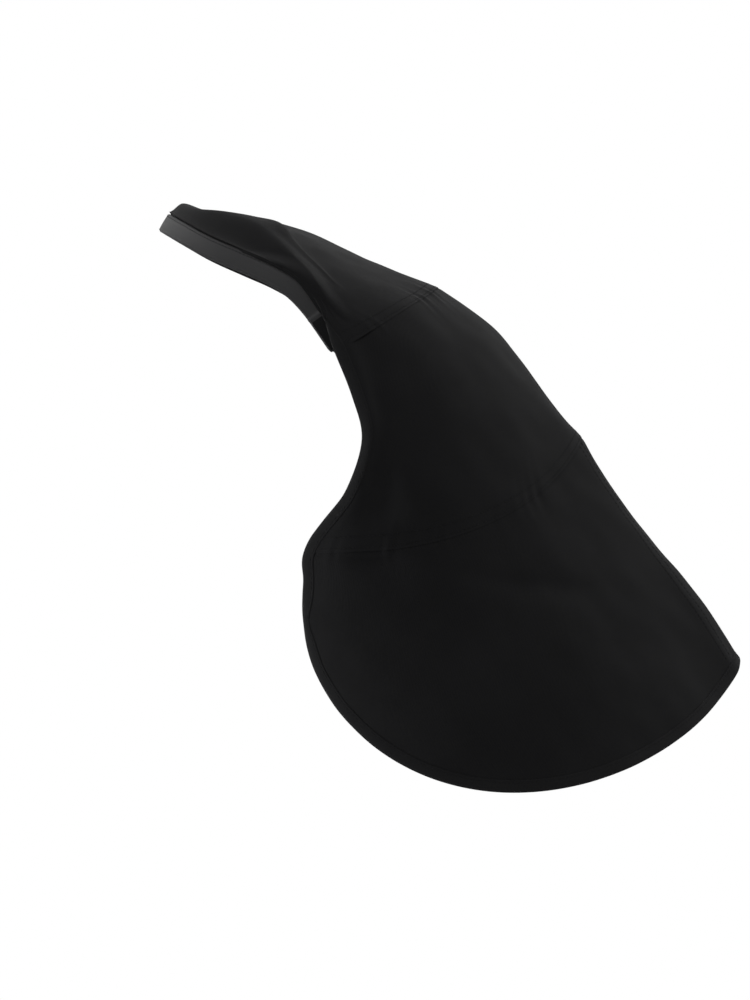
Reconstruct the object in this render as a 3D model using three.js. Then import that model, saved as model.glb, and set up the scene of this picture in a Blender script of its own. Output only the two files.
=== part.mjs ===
// Welding head cover: a black flame-resistant cloth hood that hangs from a springy band on the rear rim of a
// welding helmet and covers the back of the head and the neck.
// Millimetres. +X runs from the brow to the back of the head, -Y is the wearer's left and +Z is up.
// The origin is the middle of the band's inner face, where the band sits on the crown of the helmet.

import * as THREE from "three";

// Driving dimensions
const CLOTH = 1.6; // wall of each panel
const GAP = 0.3; // clearance between neighbouring pieces
const BAND_RADIUS = 115; // inner radius of the band, half the helmet's width
const BAND_WIDTH = 13.5;
const BAND_THICKNESS = 3;
const BAND_CREASE = 0.7; // gap between the band's rear edge and the cloth
const BAND_SLOPE = THREE.MathUtils.degToRad(31); // the hoop leans back and down
const TAPE = 0.9; // wall of the folded edge tape
const TAPE_WIDTH = 6.5;
const TAPE_GAP = 0.7;
const TAPE_ROWS = [11, 13]; // rows of the crown where the tape has its first corners

// Triangles of the flat ends, by the numbers of the corners of each outline.
const BAND_CAP = [[0, 1, 2], [0, 2, 3], [0, 3, 4], [0, 4, 5], [0, 5, 6], [0, 6, 7]];
const TAPE_CAP = [[0, 1, 9], [1, 8, 9], [1, 7, 8], [1, 6, 7], [1, 2, 6], [2, 5, 6], [2, 3, 5], [3, 4, 5]];
const HALF_COLUMNS = 24; // steps from the centre line to a front edge
const BAND_STEP = 0.5; // degrees to each side, for the direction of the band's run
const BAND_CLEAR_TO = 97; // degrees round, the last place where the cloth is kept clear of the band

// The band's path round the helmet: degrees round from the crown, and how far it stands above a plane hoop.
// Its ends run on past the half circle, turn down and lie under the cloth.
const BAND_PATH = [
  [0, 0],
  [30, 0],
  [45, 0.6],
  [60, 3.8],
  [72, 6.8],
  [80, 7.0],
  [85, 4.4],
  [90, -0.8],
  [95, -8],
  [98, -12.5],
];

// Sections, from the band down to the hem. Each is a bow that runs from the left front edge, over the centre
// line, to the right front edge.
//   apexX, apexZ   where the bow crosses the centre line
//   edgeX, edgeZ   where it ends on the front edge
//   halfWidth      its widest reach to the side
//   wrap           degrees that it curls on round to the front past its widest place
//   ridge          degrees by which the centre line is pinched into a ridge
//   lateRise       0 for a plane arch, 1 for a bow that stays low along the side and climbs at the back
//   dip            drop of its lowest stretch below a plain bow
//   lip            flare of the front edge away from the head
const SECTION_COLUMNS = [
  "apexX", "apexZ", "edgeX", "edgeZ", "halfWidth", "wrap", "ridge", "lateRise", "dip", "lip",
];
const SECTIONS = [
  [2.0, 8.0, 104.5, -56.0, 122.0, 0, 0, 0, 0, 0],
  [40.0, 7.2, 107.5, -62.0, 122.0, 1, 0, 0, 0, 1],
  [86.0, -3.4, 109.0, -68.5, 122.0, 2, 0, 0, 0, 2],
  [131.0, -22.8, 110.5, -75.5, 122.0, 3, 0, 0.02, 0, 3],
  [175.5, -41.0, 112.5, -83.0, 122.0, 4, 0, 0.05, 0, 4],
  [207.0, -63.2, 122.5, -110.5, 122.5, 6, 4, 0.3, 0, 4],
  [227.0, -84.3, 127.6, -137.5, 124.0, 9, 8, 0.5, 0, 3],
  [247.2, -111.8, 122.0, -170.0, 127.0, 14, 12, 0.65, 0, 2],
  [266.8, -139.4, 93.2, -211.5, 131.0, 20, 16, 0.8, 2, 1],
  [294.4, -177.8, 91.4, -222.0, 136.0, 22, 18, 0.55, 20, 0.5],
  [320.1, -211.7, 90.6, -232.0, 141.0, 24, 20, 0.3, 42, 0],
  [347.3, -244.8, 90.4, -241.5, 146.0, 26, 22.5, 0.1, 64, 0],
  [372.0, -281.6, 91.2, -250.8, 150.0, 27, 25, -0.12, 87, 0],
];
const DIP_SKEW = 0.66; // brings the lowest stretch of a dipped bow forward of its middle
const DIP_FULLNESS = 0.84; // below 1, the dip is rounder than a plain wave
const LIP_FROM = 0.8; // share of the way to the front edge where the lip starts to flare

// Tiers of cloth: the sections where each starts and ends, its rows of facets, and how far these crowd to
// its top.
const TIERS = {
  crown: { first: 0, last: 4, rows: 15, crowding: 1.4 },
  back: { first: 4, last: 8, rows: 10, crowding: 1 },
  skirt: { first: 8, last: 12, rows: 9, crowding: 1 },
};

// Folds: soft ridges and hollows that stand off the plain bows.
//   tier                   the tier that it lies in
//   atCentre, atEdge       its place down the tier, at the centre line and at the front edge
//   before, after          how far it spreads up and down the tier
//   from, to               the stretch between the centre line (0) and the front edge (1) that it fills
//   height                 outward if positive, inward if negative
const FOLD_COLUMNS = ["tier", "atCentre", "atEdge", "before", "after", "from", "to", "height"];
const FOLDS = [
  ["crown", 0.045, 0.045, 0.04, 0.05, -0.5, 0.5, 5.5],
  ["crown", 0.17, 0.18, 0.12, 0.13, 0.05, 0.9, -6],
  ["crown", 0.26, 1.08, 0.15, 0.3, 0.1, 0.8, 8],
  ["crown", 1.0, 1.0, 0.07, 0.07, -1.1, 1.1, 1.8],
  ["back", 1.0, 1.0, 0.08, 0.08, -1.1, 1.1, 1.8],
];
const FOLD_START = 0.03; // share of the crown below the band before its folds reach their height
const BAND_HOLD = 0.45; // share of the crown over which the cloth is drawn to the band

// At its sides the cloth laps over the band's ends. Places run from 0 at the centre line to 1 at the
// front edge.
const LAP_FROM = 0.66; // it starts to rise over the band
const LAP_FULL = 0.8; // it is clear above the band
const LAP_FREE = 0.88; // it may slide forward over the band
const LAP_HEIGHT = 6.9; // of its outer face above the band's inner face
const LAP_SLIDE = 5; // how far its corner slides forward over the band
const LAP_FADE = 12; // behind the band's edge, where the cloth has come down again

function namedRows(rows, columns) {
  return rows.map((row) => Object.fromEntries(columns.map((name, k) => [name, row[k]])));
}

const sectionTable = namedRows(SECTIONS, SECTION_COLUMNS);
const foldTable = namedRows(FOLDS, FOLD_COLUMNS);

// Smooth curves through some columns of some sections, read by the section's number.
function splineThrough(first, last, names) {
  const places = sectionTable.map((_, k) => k).slice(first, last + 1);
  const values = places.flatMap((k) => names.map((name) => sectionTable[k][name]));
  const spline = new THREE.CubicInterpolant(places, values, names.length);
  return (place) => {
    const result = spline.evaluate(place);
    return Object.fromEntries(names.map((name, k) => [name, result[k]]));
  };
}

// The centre line may turn sharply at a seam, so each tier has its own spline there. The front edge runs
// smoothly.
const APEX_COLUMNS = ["apexX", "apexZ"];
const FLOWING_COLUMNS = SECTION_COLUMNS.filter((name) => !APEX_COLUMNS.includes(name));
const flowing = splineThrough(0, SECTIONS.length - 1, FLOWING_COLUMNS);
const apexOf = Object.fromEntries(
  Object.entries(TIERS).map(([tier, { first, last }]) => [tier, splineThrough(first, last, APEX_COLUMNS)]),
);

function sectionAt(tier, down) {
  const { first, last } = TIERS[tier];
  const place = THREE.MathUtils.lerp(first, last, down);
  return { ...flowing(place), ...apexOf[tier](place) };
}

// A point of a bow. across runs from -1 at the left front edge to 1 at the right one.
function bowPoint(section, across) {
  const reach = Math.abs(across);
  const start = THREE.MathUtils.degToRad(section.ridge);
  const end = THREE.MathUtils.degToRad(90 + section.wrap);
  const angle = THREE.MathUtils.lerp(start, end, reach);
  const sideShare = (a) => (Math.sin(a) - Math.sin(start)) / (1 - Math.sin(start));
  const planeRise = (Math.cos(angle) - Math.cos(end)) / (Math.cos(start) - Math.cos(end));
  const lateRise = 1 - sideShare(Math.min(angle, Math.PI / 2));
  const rise = THREE.MathUtils.lerp(planeRise, lateRise, section.lateRise);
  const dip = section.dip * Math.sin(Math.PI * (1 - reach) ** DIP_SKEW) ** DIP_FULLNESS;
  const lip = section.lip * THREE.MathUtils.smoothstep(reach, LIP_FROM, 1);
  return new THREE.Vector3(
    THREE.MathUtils.lerp(section.edgeX, section.apexX, planeRise),
    Math.sign(across) * (section.halfWidth * sideShare(angle) + lip),
    THREE.MathUtils.lerp(section.edgeZ, section.apexZ, rise) - dip,
  );
}

// The band's path: a point on the middle of its inner face, and the directions out of it and along its width.
const bandLift = new THREE.CubicInterpolant(
  BAND_PATH.map(([degrees]) => degrees),
  BAND_PATH.map(([, lift]) => lift),
  1,
);
const BAND_BACK = new THREE.Vector3(Math.cos(BAND_SLOPE), 0, -Math.sin(BAND_SLOPE));

function bandPoint(degrees) {
  const angle = THREE.MathUtils.degToRad(degrees);
  const out = BAND_BACK.clone().multiplyScalar(-Math.cos(angle));
  out.y = Math.sin(angle);
  const point = BAND_BACK.clone().multiplyScalar(BAND_RADIUS).addScaledVector(out, BAND_RADIUS);
  point.z += bandLift.evaluate(Math.abs(degrees))[0];
  return { point, out };
}

function bandFrame(degrees) {
  const { point, out } = bandPoint(degrees);
  const run = bandPoint(degrees + BAND_STEP).point.sub(bandPoint(degrees - BAND_STEP).point).normalize();
  return { point, along: new THREE.Vector3().crossVectors(run, out).normalize(), out };
}

// How the cloth passes the band: its rise over it, its hold behind the rear edge, and its slide forward.
function lapAt(across) {
  const reach = Math.abs(across);
  return {
    rise: THREE.MathUtils.smoothstep(reach, LAP_FROM, LAP_FULL),
    hold: 1 - THREE.MathUtils.smoothstep(reach, LAP_FULL, LAP_FREE),
    slide: THREE.MathUtils.smoothstep(reach, LAP_FREE, 1),
  };
}

// The cloth's top edge sits behind the band's rear edge, and the crown below is drawn to it. Its corners
// lap over the band.
function bandPull(across) {
  const { point, along, out } = bandFrame(90 * across);
  const { rise, slide } = lapAt(across);
  const seat = point.addScaledVector(along, BAND_WIDTH / 2 + BAND_CREASE - LAP_SLIDE * slide);
  seat.addScaledVector(out, THREE.MathUtils.lerp(BAND_THICKNESS, LAP_HEIGHT, rise));
  return seat.sub(bowPoint(sectionAt("crown", 0), across));
}

// Moves a point of the crown clear of the band: back behind its rear edge, or up where the sides lap over
// its ends.
const bandFrames = Array.from({ length: 2 * BAND_CLEAR_TO + 1 }, (_, k) => bandFrame(k - BAND_CLEAR_TO));

function clearOfBand(point, across, height) {
  const { rise, hold } = lapAt(across);
  const nearest = bandFrames.reduce((best, frame) =>
    frame.point.distanceToSquared(point) < best.point.distanceToSquared(point) ? frame : best,
  );
  const offset = point.clone().sub(nearest.point);
  const behind = offset.dot(nearest.along) - BAND_WIDTH / 2;
  const lift = rise * (1 - THREE.MathUtils.smoothstep(behind, GAP, LAP_FADE));
  point.addScaledVector(nearest.along, hold * Math.max(0, BAND_CREASE - behind));
  return point.addScaledVector(nearest.out, lift * Math.max(0, height - offset.dot(nearest.out)));
}

function coverPoint(tier, down, across) {
  const point = bowPoint(sectionAt(tier, down), across);
  if (tier !== "crown") return point;
  return point.addScaledVector(bandPull(across), 1 - THREE.MathUtils.smoothstep(down, 0, BAND_HOLD));
}

// How far the folds push the cloth outward at a place on a tier.
function foldHeight(tier, across, down) {
  const reach = Math.abs(across);
  let height = 0;
  for (const fold of foldTable.filter((row) => row.tier === tier)) {
    const ridge = THREE.MathUtils.lerp(fold.atCentre, fold.atEdge, reach);
    const spread = down < ridge ? fold.before : fold.after;
    const profile = Math.exp(-(((down - ridge) / spread) ** 2));
    const along = THREE.MathUtils.clamp((reach - fold.from) / (fold.to - fold.from), 0, 1);
    height += fold.height * profile * Math.sin(Math.PI * along) ** 2;
  }
  return height * (tier === "crown" ? THREE.MathUtils.smoothstep(down, 0, FOLD_START) : 1);
}

// Grids of points are arrays of rows. Their triangles face out of the cover, and mirror about the centre
// column.
function gridFaces(rows, columns, centre) {
  const faces = [];
  for (let r = 0; r < rows - 1; r++) {
    for (let c = 0; c < columns - 1; c++) {
      const a = r * columns + c;
      const b = a + columns;
      if (c < centre) faces.push([a, b, b + 1], [a, b + 1, a + 1]);
      else faces.push([a, b, a + 1], [b, b + 1, a + 1]);
    }
  }
  return faces;
}

function geometryOf(points, faces) {
  return new THREE.BufferGeometry().setFromPoints(points).setIndex(faces.flat());
}

function gridNormals(grid) {
  const columns = grid[0].length;
  const geometry = geometryOf(grid.flat(), gridFaces(grid.length, columns, HALF_COLUMNS));
  geometry.computeVertexNormals();
  const normal = geometry.getAttribute("normal");
  const normalAt = (r, c) => new THREE.Vector3().fromBufferAttribute(normal, r * columns + c);
  return grid.map((row, r) => row.map((_, c) => normalAt(r, c)));
}

function pushedOut(grid, distance) {
  const normals = gridNormals(grid);
  const push = (point, r, c) => point.clone().addScaledVector(normals[r][c], distance(r, c));
  return grid.map((row, r) => row.map((point, c) => push(point, r, c)));
}

// The outer face of the whole cover, tier by tier, on one grid.
const acrossAt = (c) => c / HALF_COLUMNS - 1;
const places = Object.entries(TIERS).flatMap(([tier, { first, rows, crowding }]) =>
  Array.from({ length: rows + 1 }, (_, r) => ({ tier, down: (r / rows) ** crowding })).slice(first ? 1 : 0),
);

function clearedCrown(grid, height) {
  return grid.map((row, r) =>
    row.map((point, c) => (places[r].tier === "crown" ? clearOfBand(point, acrossAt(c), height) : point)),
  );
}

function outerFace() {
  const columns = Array.from({ length: 2 * HALF_COLUMNS + 1 }, (_, c) => acrossAt(c));
  const plain = places.map(({ tier, down }) => columns.map((across) => coverPoint(tier, down, across)));
  const folded = pushedOut(plain, (r, c) => foldHeight(places[r].tier, acrossAt(c), places[r].down));
  return clearedCrown(folded, LAP_HEIGHT);
}

// The inner face: the outer one pushed in by the cloth's thickness. Its top rim is square to the band.
function innerFace(outer) {
  const pushed = pushedOut(outer, () => -CLOTH);
  pushed[0] = outer[0].map((point, c) => {
    const { out } = bandFrame(90 * acrossAt(c));
    return point.clone().addScaledVector(out, -CLOTH);
  });
  return clearedCrown(pushed, LAP_HEIGHT - CLOTH);
}

// A closed wall between an outer grid and the same grid pushed in by the cloth's thickness.
function wallGeometry(outer, inner, centre) {
  const rows = outer.length;
  const columns = outer[0].length;
  const half = rows * columns;
  const top = (r, c) => r * columns + c;
  const under = (r, c) => half + top(r, c);
  const outerFaces = gridFaces(rows, columns, centre);
  const faces = [...outerFaces, ...outerFaces.map(([a, b, c]) => [half + a, half + c, half + b])];
  const rim = (r, c, nextR, nextC) => {
    faces.push([top(r, c), top(nextR, nextC), under(nextR, nextC)]);
    faces.push([top(r, c), under(nextR, nextC), under(r, c)]);
  };
  for (let c = 0; c < columns - 1; c++) {
    rim(0, c, 0, c + 1);
    rim(rows - 1, c + 1, rows - 1, c);
  }
  for (let r = 0; r < rows - 1; r++) {
    rim(r + 1, 0, r, 0);
    rim(r, columns - 1, r + 1, columns - 1);
  }
  return geometryOf([...outer.flat(), ...inner.flat()], faces);
}

// Part of a grid, drawn back from its neighbours so that the pieces keep their clearance.
function cutPiece(grid, rowRange, columnRange, drawBack) {
  const [firstRow, endRow] = rowRange;
  const [firstColumn, endColumn] = columnRange;
  const piece = grid.slice(firstRow, endRow + 1).map((row) => row.slice(firstColumn, endColumn + 1));
  const towards = (from, to, distance) => {
    const direction = to.clone().sub(from).normalize();
    return from.clone().addScaledVector(direction, distance);
  };
  const lastRow = piece.length - 1;
  const lastColumn = piece[0].length - 1;
  const moved = piece.map((row) => row.map((point) => point.clone()));
  if (drawBack.top) moved[0] = piece[0].map((point, c) => towards(point, piece[1][c], drawBack.top));
  if (drawBack.bottom) {
    moved[lastRow] = piece[lastRow].map((point, c) => towards(point, piece[lastRow - 1][c], drawBack.bottom));
  }
  for (const row of moved) {
    if (drawBack.left) row[0] = towards(row[0], row[1], drawBack.left);
    if (drawBack.right) row[lastColumn] = towards(row[lastColumn], row[lastColumn - 1], drawBack.right);
  }
  return moved;
}

// A closed bar through rings of points, with flat ends cut into the given triangles.
function tubeGeometry(rings, cap) {
  const sides = rings[0].length;
  const last = rings.length - 1;
  const at = (f, s) => f * sides + (s % sides);
  const faces = [];
  for (let f = 0; f < last; f++) {
    for (let s = 0; s < sides; s++) {
      const [a, b, c, d] = [at(f, s), at(f + 1, s), at(f + 1, s + 1), at(f, s + 1)];
      if (f < last / 2) faces.push([a, b, c], [a, c, d]);
      else faces.push([a, b, d], [b, c, d]);
    }
  }
  for (const [a, b, c] of cap) {
    faces.push([at(0, a), at(0, b), at(0, c)]);
    faces.push([at(last, a), at(last, c), at(last, b)]);
  }
  return geometryOf(rings.flat(), faces);
}

// The springy band: a hoop that leans back over the helmet's rear rim.
function bandGeometry() {
  const end = BAND_PATH.at(-1)[0] - BAND_STEP;
  const steps = 2 * HALF_COLUMNS;
  const degreesAt = (k) => THREE.MathUtils.lerp(-end, end, k / steps);
  const frames = Array.from({ length: steps + 1 }, (_, k) => bandFrame(degreesAt(k)));
  const half = BAND_WIDTH / 2;
  const round = BAND_THICKNESS / 3;
  const outline = [
    [-half + round, 0],
    [half - round, 0],
    [half, round],
    [half, BAND_THICKNESS - round],
    [half - round, BAND_THICKNESS],
    [-half + round, BAND_THICKNESS],
    [-half, BAND_THICKNESS - round],
    [-half, round],
  ];
  const rings = frames.map(({ point, along, out }) =>
    outline.map(([x, y]) => point.clone().addScaledVector(along, x).addScaledVector(out, y)),
  );
  return tubeGeometry(rings, BAND_CAP);
}

// The nearest place on a grid, with its outward direction.
function surfaceFinder(grid) {
  const points = grid.flat();
  const normals = gridNormals(grid).flat();
  const faces = gridFaces(grid.length, grid[0].length, HALF_COLUMNS);
  const triangle = new THREE.Triangle();
  return (target) => {
    const best = { distance: Infinity, point: new THREE.Vector3(), out: new THREE.Vector3() };
    const place = new THREE.Vector3();
    for (const face of faces) {
      triangle.set(...face.map((k) => points[k]));
      triangle.closestPointToPoint(target, place);
      const distance = place.distanceTo(target);
      if (distance >= best.distance) continue;
      best.distance = distance;
      best.point.copy(place);
      triangle.getInterpolation(place, ...face.map((k) => normals[k]), best.out);
    }
    best.out.normalize();
    return best;
  };
}

// The free edge, from one end of the band round the hem to the other. Crowded rows are thinned out.
function freeEdge(grid) {
  const normals = gridNormals(grid);
  const lastRow = grid.length - 1;
  const lastColumn = grid[0].length - 1;
  const rows = grid.map((_, r) => r).filter((r) => r >= TIERS.crown.rows || TAPE_ROWS.includes(r));
  const columns = grid[0].map((_, c) => c);
  const places = [
    ...rows.slice(0, -1).map((r) => [r, 0]),
    ...columns.map((c) => [lastRow, c]),
    ...rows.slice(0, -1).reverse().map((r) => [r, lastColumn]),
  ];
  return places.map(([r, c]) => ({ point: grid[r][c], out: normals[r][c] }));
}

// The folded tape: a U round the free edge, whose two legs lie along the cloth.
function bindingGeometry(grid) {
  const edge = freeEdge(grid);
  const find = surfaceFinder(grid);
  const over = TAPE_GAP + TAPE;
  const under = -CLOTH - TAPE_GAP - TAPE;
  const rings = edge.map(({ point, out }, k) => {
    const run = edge[Math.min(k + 1, edge.length - 1)].point.clone().sub(edge[Math.max(k - 1, 0)].point);
    const away = new THREE.Vector3().crossVectors(run, out).normalize();
    const inside = find(point.clone().addScaledVector(away, -TAPE_WIDTH));
    const atEdge = (x, y) => point.clone().addScaledVector(away, x).addScaledVector(out, y);
    const atInside = (y) => inside.point.clone().addScaledVector(inside.out, y);
    return [
      atInside(TAPE_GAP),
      atEdge(TAPE_GAP, TAPE_GAP),
      atEdge(TAPE_GAP, under + TAPE),
      atInside(under + TAPE),
      atInside(under),
      atEdge(TAPE_GAP, under),
      atEdge(over, -CLOTH / 2 - over / 2),
      atEdge(over, -CLOTH / 2 + over / 2),
      atEdge(TAPE_GAP, over),
      atInside(over),
    ];
  });
  return tubeGeometry(rings, TAPE_CAP);
}

// Materials
const cloth = new THREE.MeshStandardMaterial({ color: 0x161617, roughness: 0.92, metalness: 0 });
const elastic = new THREE.MeshStandardMaterial({ color: 0x2a2a2c, roughness: 0.7, metalness: 0 });
const tape = new THREE.MeshStandardMaterial({ color: 0x1b1b1d, roughness: 0.85, metalness: 0 });

// Assembly
const cover = new THREE.Group();

function addPiece(name, geometry, material) {
  const mesh = new THREE.Mesh(geometry, material);
  mesh.name = name;
  cover.add(mesh);
}

const outerGrid = outerFace();
const innerGrid = innerFace(outerGrid);
const crownEnd = TIERS.crown.rows;
const backEnd = crownEnd + TIERS.back.rows;
const hemRow = backEnd + TIERS.skirt.rows;
const rightEdge = 2 * HALF_COLUMNS;

function addPanel(name, rowRange, columnRange, drawBack) {
  const cut = (grid) => cutPiece(grid, rowRange, columnRange, drawBack);
  addPiece(name, wallGeometry(cut(outerGrid), cut(innerGrid), HALF_COLUMNS - columnRange[0]), cloth);
}

addPiece("front_band", bandGeometry(), elastic);
addPanel("crown_panel", [0, crownEnd], [0, rightEdge], { bottom: GAP / 2 });
addPanel("back_panel", [crownEnd, backEnd], [0, rightEdge], { top: GAP / 2, bottom: GAP / 2 });
addPanel("skirt_left", [backEnd, hemRow], [0, HALF_COLUMNS], { top: GAP / 2, right: GAP });
addPanel("skirt_right", [backEnd, hemRow], [HALF_COLUMNS, rightEdge], { top: GAP / 2, left: GAP });
addPiece("edge_binding", bindingGeometry(outerGrid), tape);

export default cover;
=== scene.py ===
"""Welding head cover, dressed: a black flame-resistant cloth hood on a springy band, with a gathered crown,
a back tier, a flared neck skirt in two halves and a bound edge.

Shapes are worked out in millimetres and made into meshes in metres. +X runs from the brow to the back of the
head, -Y is the wearer's left and +Z is up.
"""

import math
from collections import namedtuple

import bpy
import numpy as np
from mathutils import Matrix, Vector
from mathutils.bvhtree import BVHTree


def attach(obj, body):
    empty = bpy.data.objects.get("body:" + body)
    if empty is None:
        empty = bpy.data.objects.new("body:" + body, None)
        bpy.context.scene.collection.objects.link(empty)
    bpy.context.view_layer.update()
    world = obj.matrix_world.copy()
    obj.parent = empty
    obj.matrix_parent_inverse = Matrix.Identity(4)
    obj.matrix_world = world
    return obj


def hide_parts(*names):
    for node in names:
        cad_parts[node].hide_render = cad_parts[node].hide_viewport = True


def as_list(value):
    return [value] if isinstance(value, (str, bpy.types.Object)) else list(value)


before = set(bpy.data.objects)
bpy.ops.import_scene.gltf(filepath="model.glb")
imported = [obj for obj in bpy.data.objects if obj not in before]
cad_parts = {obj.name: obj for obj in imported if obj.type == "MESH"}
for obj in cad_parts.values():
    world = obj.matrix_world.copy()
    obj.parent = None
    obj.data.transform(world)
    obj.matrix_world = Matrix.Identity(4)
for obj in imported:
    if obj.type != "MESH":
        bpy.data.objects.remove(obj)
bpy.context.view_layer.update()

MM = 0.001
LEAST_LENGTH = 1e-9

# Cloth and lapped seams
CLOTH = 1.1  # thickness
LAYER = 1.25  # step from one layer of cloth to the next at a lapped seam
SEAM_LAP = [8, 6, 4, 2.5, 1.2, 0.5]  # rows of the lower panel, this far up under the upper one
LAP_ROWS = len(SEAM_LAP)
SEAM_PRESS = 0.95  # by which the upper layer is thinner at its edge, pressed flat
SEAM_PRESS_SPREAD = 6
SEAM_SINK = 0.2  # past the seam, where the lower panel starts to come up
SEAM_EASE = 2.6  # and where it has come up
EDGE_WEAR = 0.2  # how rubbed a seam's edge is
EDGE_WEAR_SPREAD = 1.5

# The centre-back seam, where the left half of the skirt laps over the right one
STRIP = 13  # from the centre line to the edge of the left half
STRIP_COLUMNS = 16
WELT = 0.8  # height of the soft welt along that edge
WELT_LEFT = 14  # its spread on the left half
WELT_RIGHT = 4  # its spread on the right half
WELT_EASE = 15  # below the neck seam, where it has come up
STRIP_PAINTED_HIGHLIGHT = 0.8  # strength of the painted highlight along the welt's edge, in the lighter rubbed colour
STRIP_PAINTED_HIGHLIGHT_PLACE = 2.5  # from the edge
STRIP_PAINTED_HIGHLIGHT_SPREAD = 2.8
STRIP_PAINTED_HIGHLIGHT_FULL = 0.5  # place down the skirt, where the painted highlight is strongest

# Stitches
STITCH_PITCH = 3.0
STITCH_LENGTH = 2.6
STITCH_LENGTHS = (0.88, 1.06)  # least and most, as shares of the length
STITCH_THICKNESS = 0.42
STITCH_SEED = 7
THREAD_SIDES = 8
THREAD_RINGS = 5
THREAD_RISE = 0.02  # of a thread's middle above the cloth
SEAM_ROWS = [1.7, 6.2]  # stitch rows above a seam's edge
SEAM_END = 0.955  # place across where they stop, short of the tape
SEAM_POINTS = 400
STRIP_ROWS = [1.3, 7.2]  # stitch rows of the left half, from its edge
STRIP_START = LAP_ROWS + 3  # first and last rows of the grid that they cross
STRIP_END = -12

# The tape
TAPE_WIDTH = 6.5
TAPE_FROM = 0.12  # share of the crown's front edge above which there is no tape
TAPE_STEP = 2.0  # between the tape's cross-sections
TAPE_GROOVE = 1.6  # stitch row, from the tape's inner edge
TAPE_UNDER = 0.08  # between the tape and the cloth
TAPE_ENDS = 3  # steps without stitches at each end
# Its cross-section from a leg's end to the edge: from the edge into the cloth, height of the tape's outside.
TAPE_LEG = [
    (TAPE_WIDTH, 0.28),
    (TAPE_WIDTH - 0.7, 0.5),
    (TAPE_WIDTH - TAPE_GROOVE, 0.42),
    (TAPE_WIDTH - 2.4, 0.58),
    (TAPE_WIDTH * 0.4, 0.72),
    (1.0, 0.8),
]
GROOVE_ROW = 2  # row of the leg where the stitches lie
# Round the edge: from the edge into the cloth, height, and the first of these for the tape's inside.
TAPE_FOLD = [(-0.75, 0.6, -0.12), (-1.15, 0.1, -0.15)]
# How many steps the tape's lines and directions are averaged over
EDGE_SOFTNESS = 1.6
LEG_SOFTNESS = 1.2
WAY_SOFTNESS = 2

# Grids
HALF_COLUMNS = 150
CENTRE_CROWDING = 0.6
CENTRE_RIGHT = LAP_ROWS + STRIP_COLUMNS  # column of the right half on the centre line
CENTRE_STEP = 0.004  # place across, for the scale at the centre line
ROWS = {"crown": 110, "back": 100, "skirt": 100}
ROW_CROWDING = 0.7
LENGTH_ROWS = np.linspace(0, 1, 81)  # places down and across from which lengths are measured
LENGTH_PLACES = np.linspace(0, 1, 41)
AT_FRONT = 0.9  # place across past which a panel's end is a front edge

# The band
BAND_RADIUS = 115
BAND_WIDTH = 13.5
BAND_HALF = BAND_WIDTH / 2
BAND_THICKNESS = 3
BAND_CREASE = 0.7  # gap between its rear edge and the cloth
BAND_SLOPE = math.radians(31)
BAND_END = 97.5  # degrees round from the crown
BAND_STEPS = 520
BAND_STEP = 0.5  # degrees to each side, for the direction of its run
BAND_STOPS = np.arange(-97.0, 98.0)  # degrees from which the nearest place on it is found
SEARCH_PARTS = 40
# Its path: degrees round from the crown, and how far it stands above a plane hoop.
BAND_PATH = [
    (0, 0),
    (30, 0),
    (45, 0.6),
    (60, 3.8),
    (72, 6.8),
    (80, 7.0),
    (85, 4.4),
    (90, -0.8),
    (95, -8),
    (98, -12.5),
]
# Its cross-section from the rear edge to the front one: place, top, underside.
BAND_PROFILE = [
    (5.75, 2.75, 1.3),
    (5.2, 2.98, 1.3),
    (4.5, 2.72, 1.3),
    (3.6, 2.86, 1.3),
    (1.6, 2.95, 1.3),
    (-0.8, 2.95, 1.25),
    (-1.6, 2.95, 0.1),
    (-3.6, 2.88, 0.05),
    (-4.6, 2.74, 0.05),
    (-5.2, 2.9, 0.1),
    (-5.6, 2.6, 0.3),
]
BAND_STITCH = (4.5, 2.78)  # place and height of its stitch row
BAND_STITCH_END = 68
BAND_STITCH_POINTS = 200
PAINTED_SHADE_FROM = 90.6  # degrees round from the crown, where the band goes into a dark cotton sheath at its end: painted shade where the band runs into the shadow under the cloth's edge
PAINTED_SHADE_SHEATH = 0.3  # thickness of the sheath
PAINTED_SHADE_RIM = 0.4  # degrees over which it rises
COVER_END = 0.6  # height of the folded end of the band's cover, which also takes a painted highlight in the lighter rubbed colour
COVER_END_PLACE = 1.5  # rims before the sheath

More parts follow.
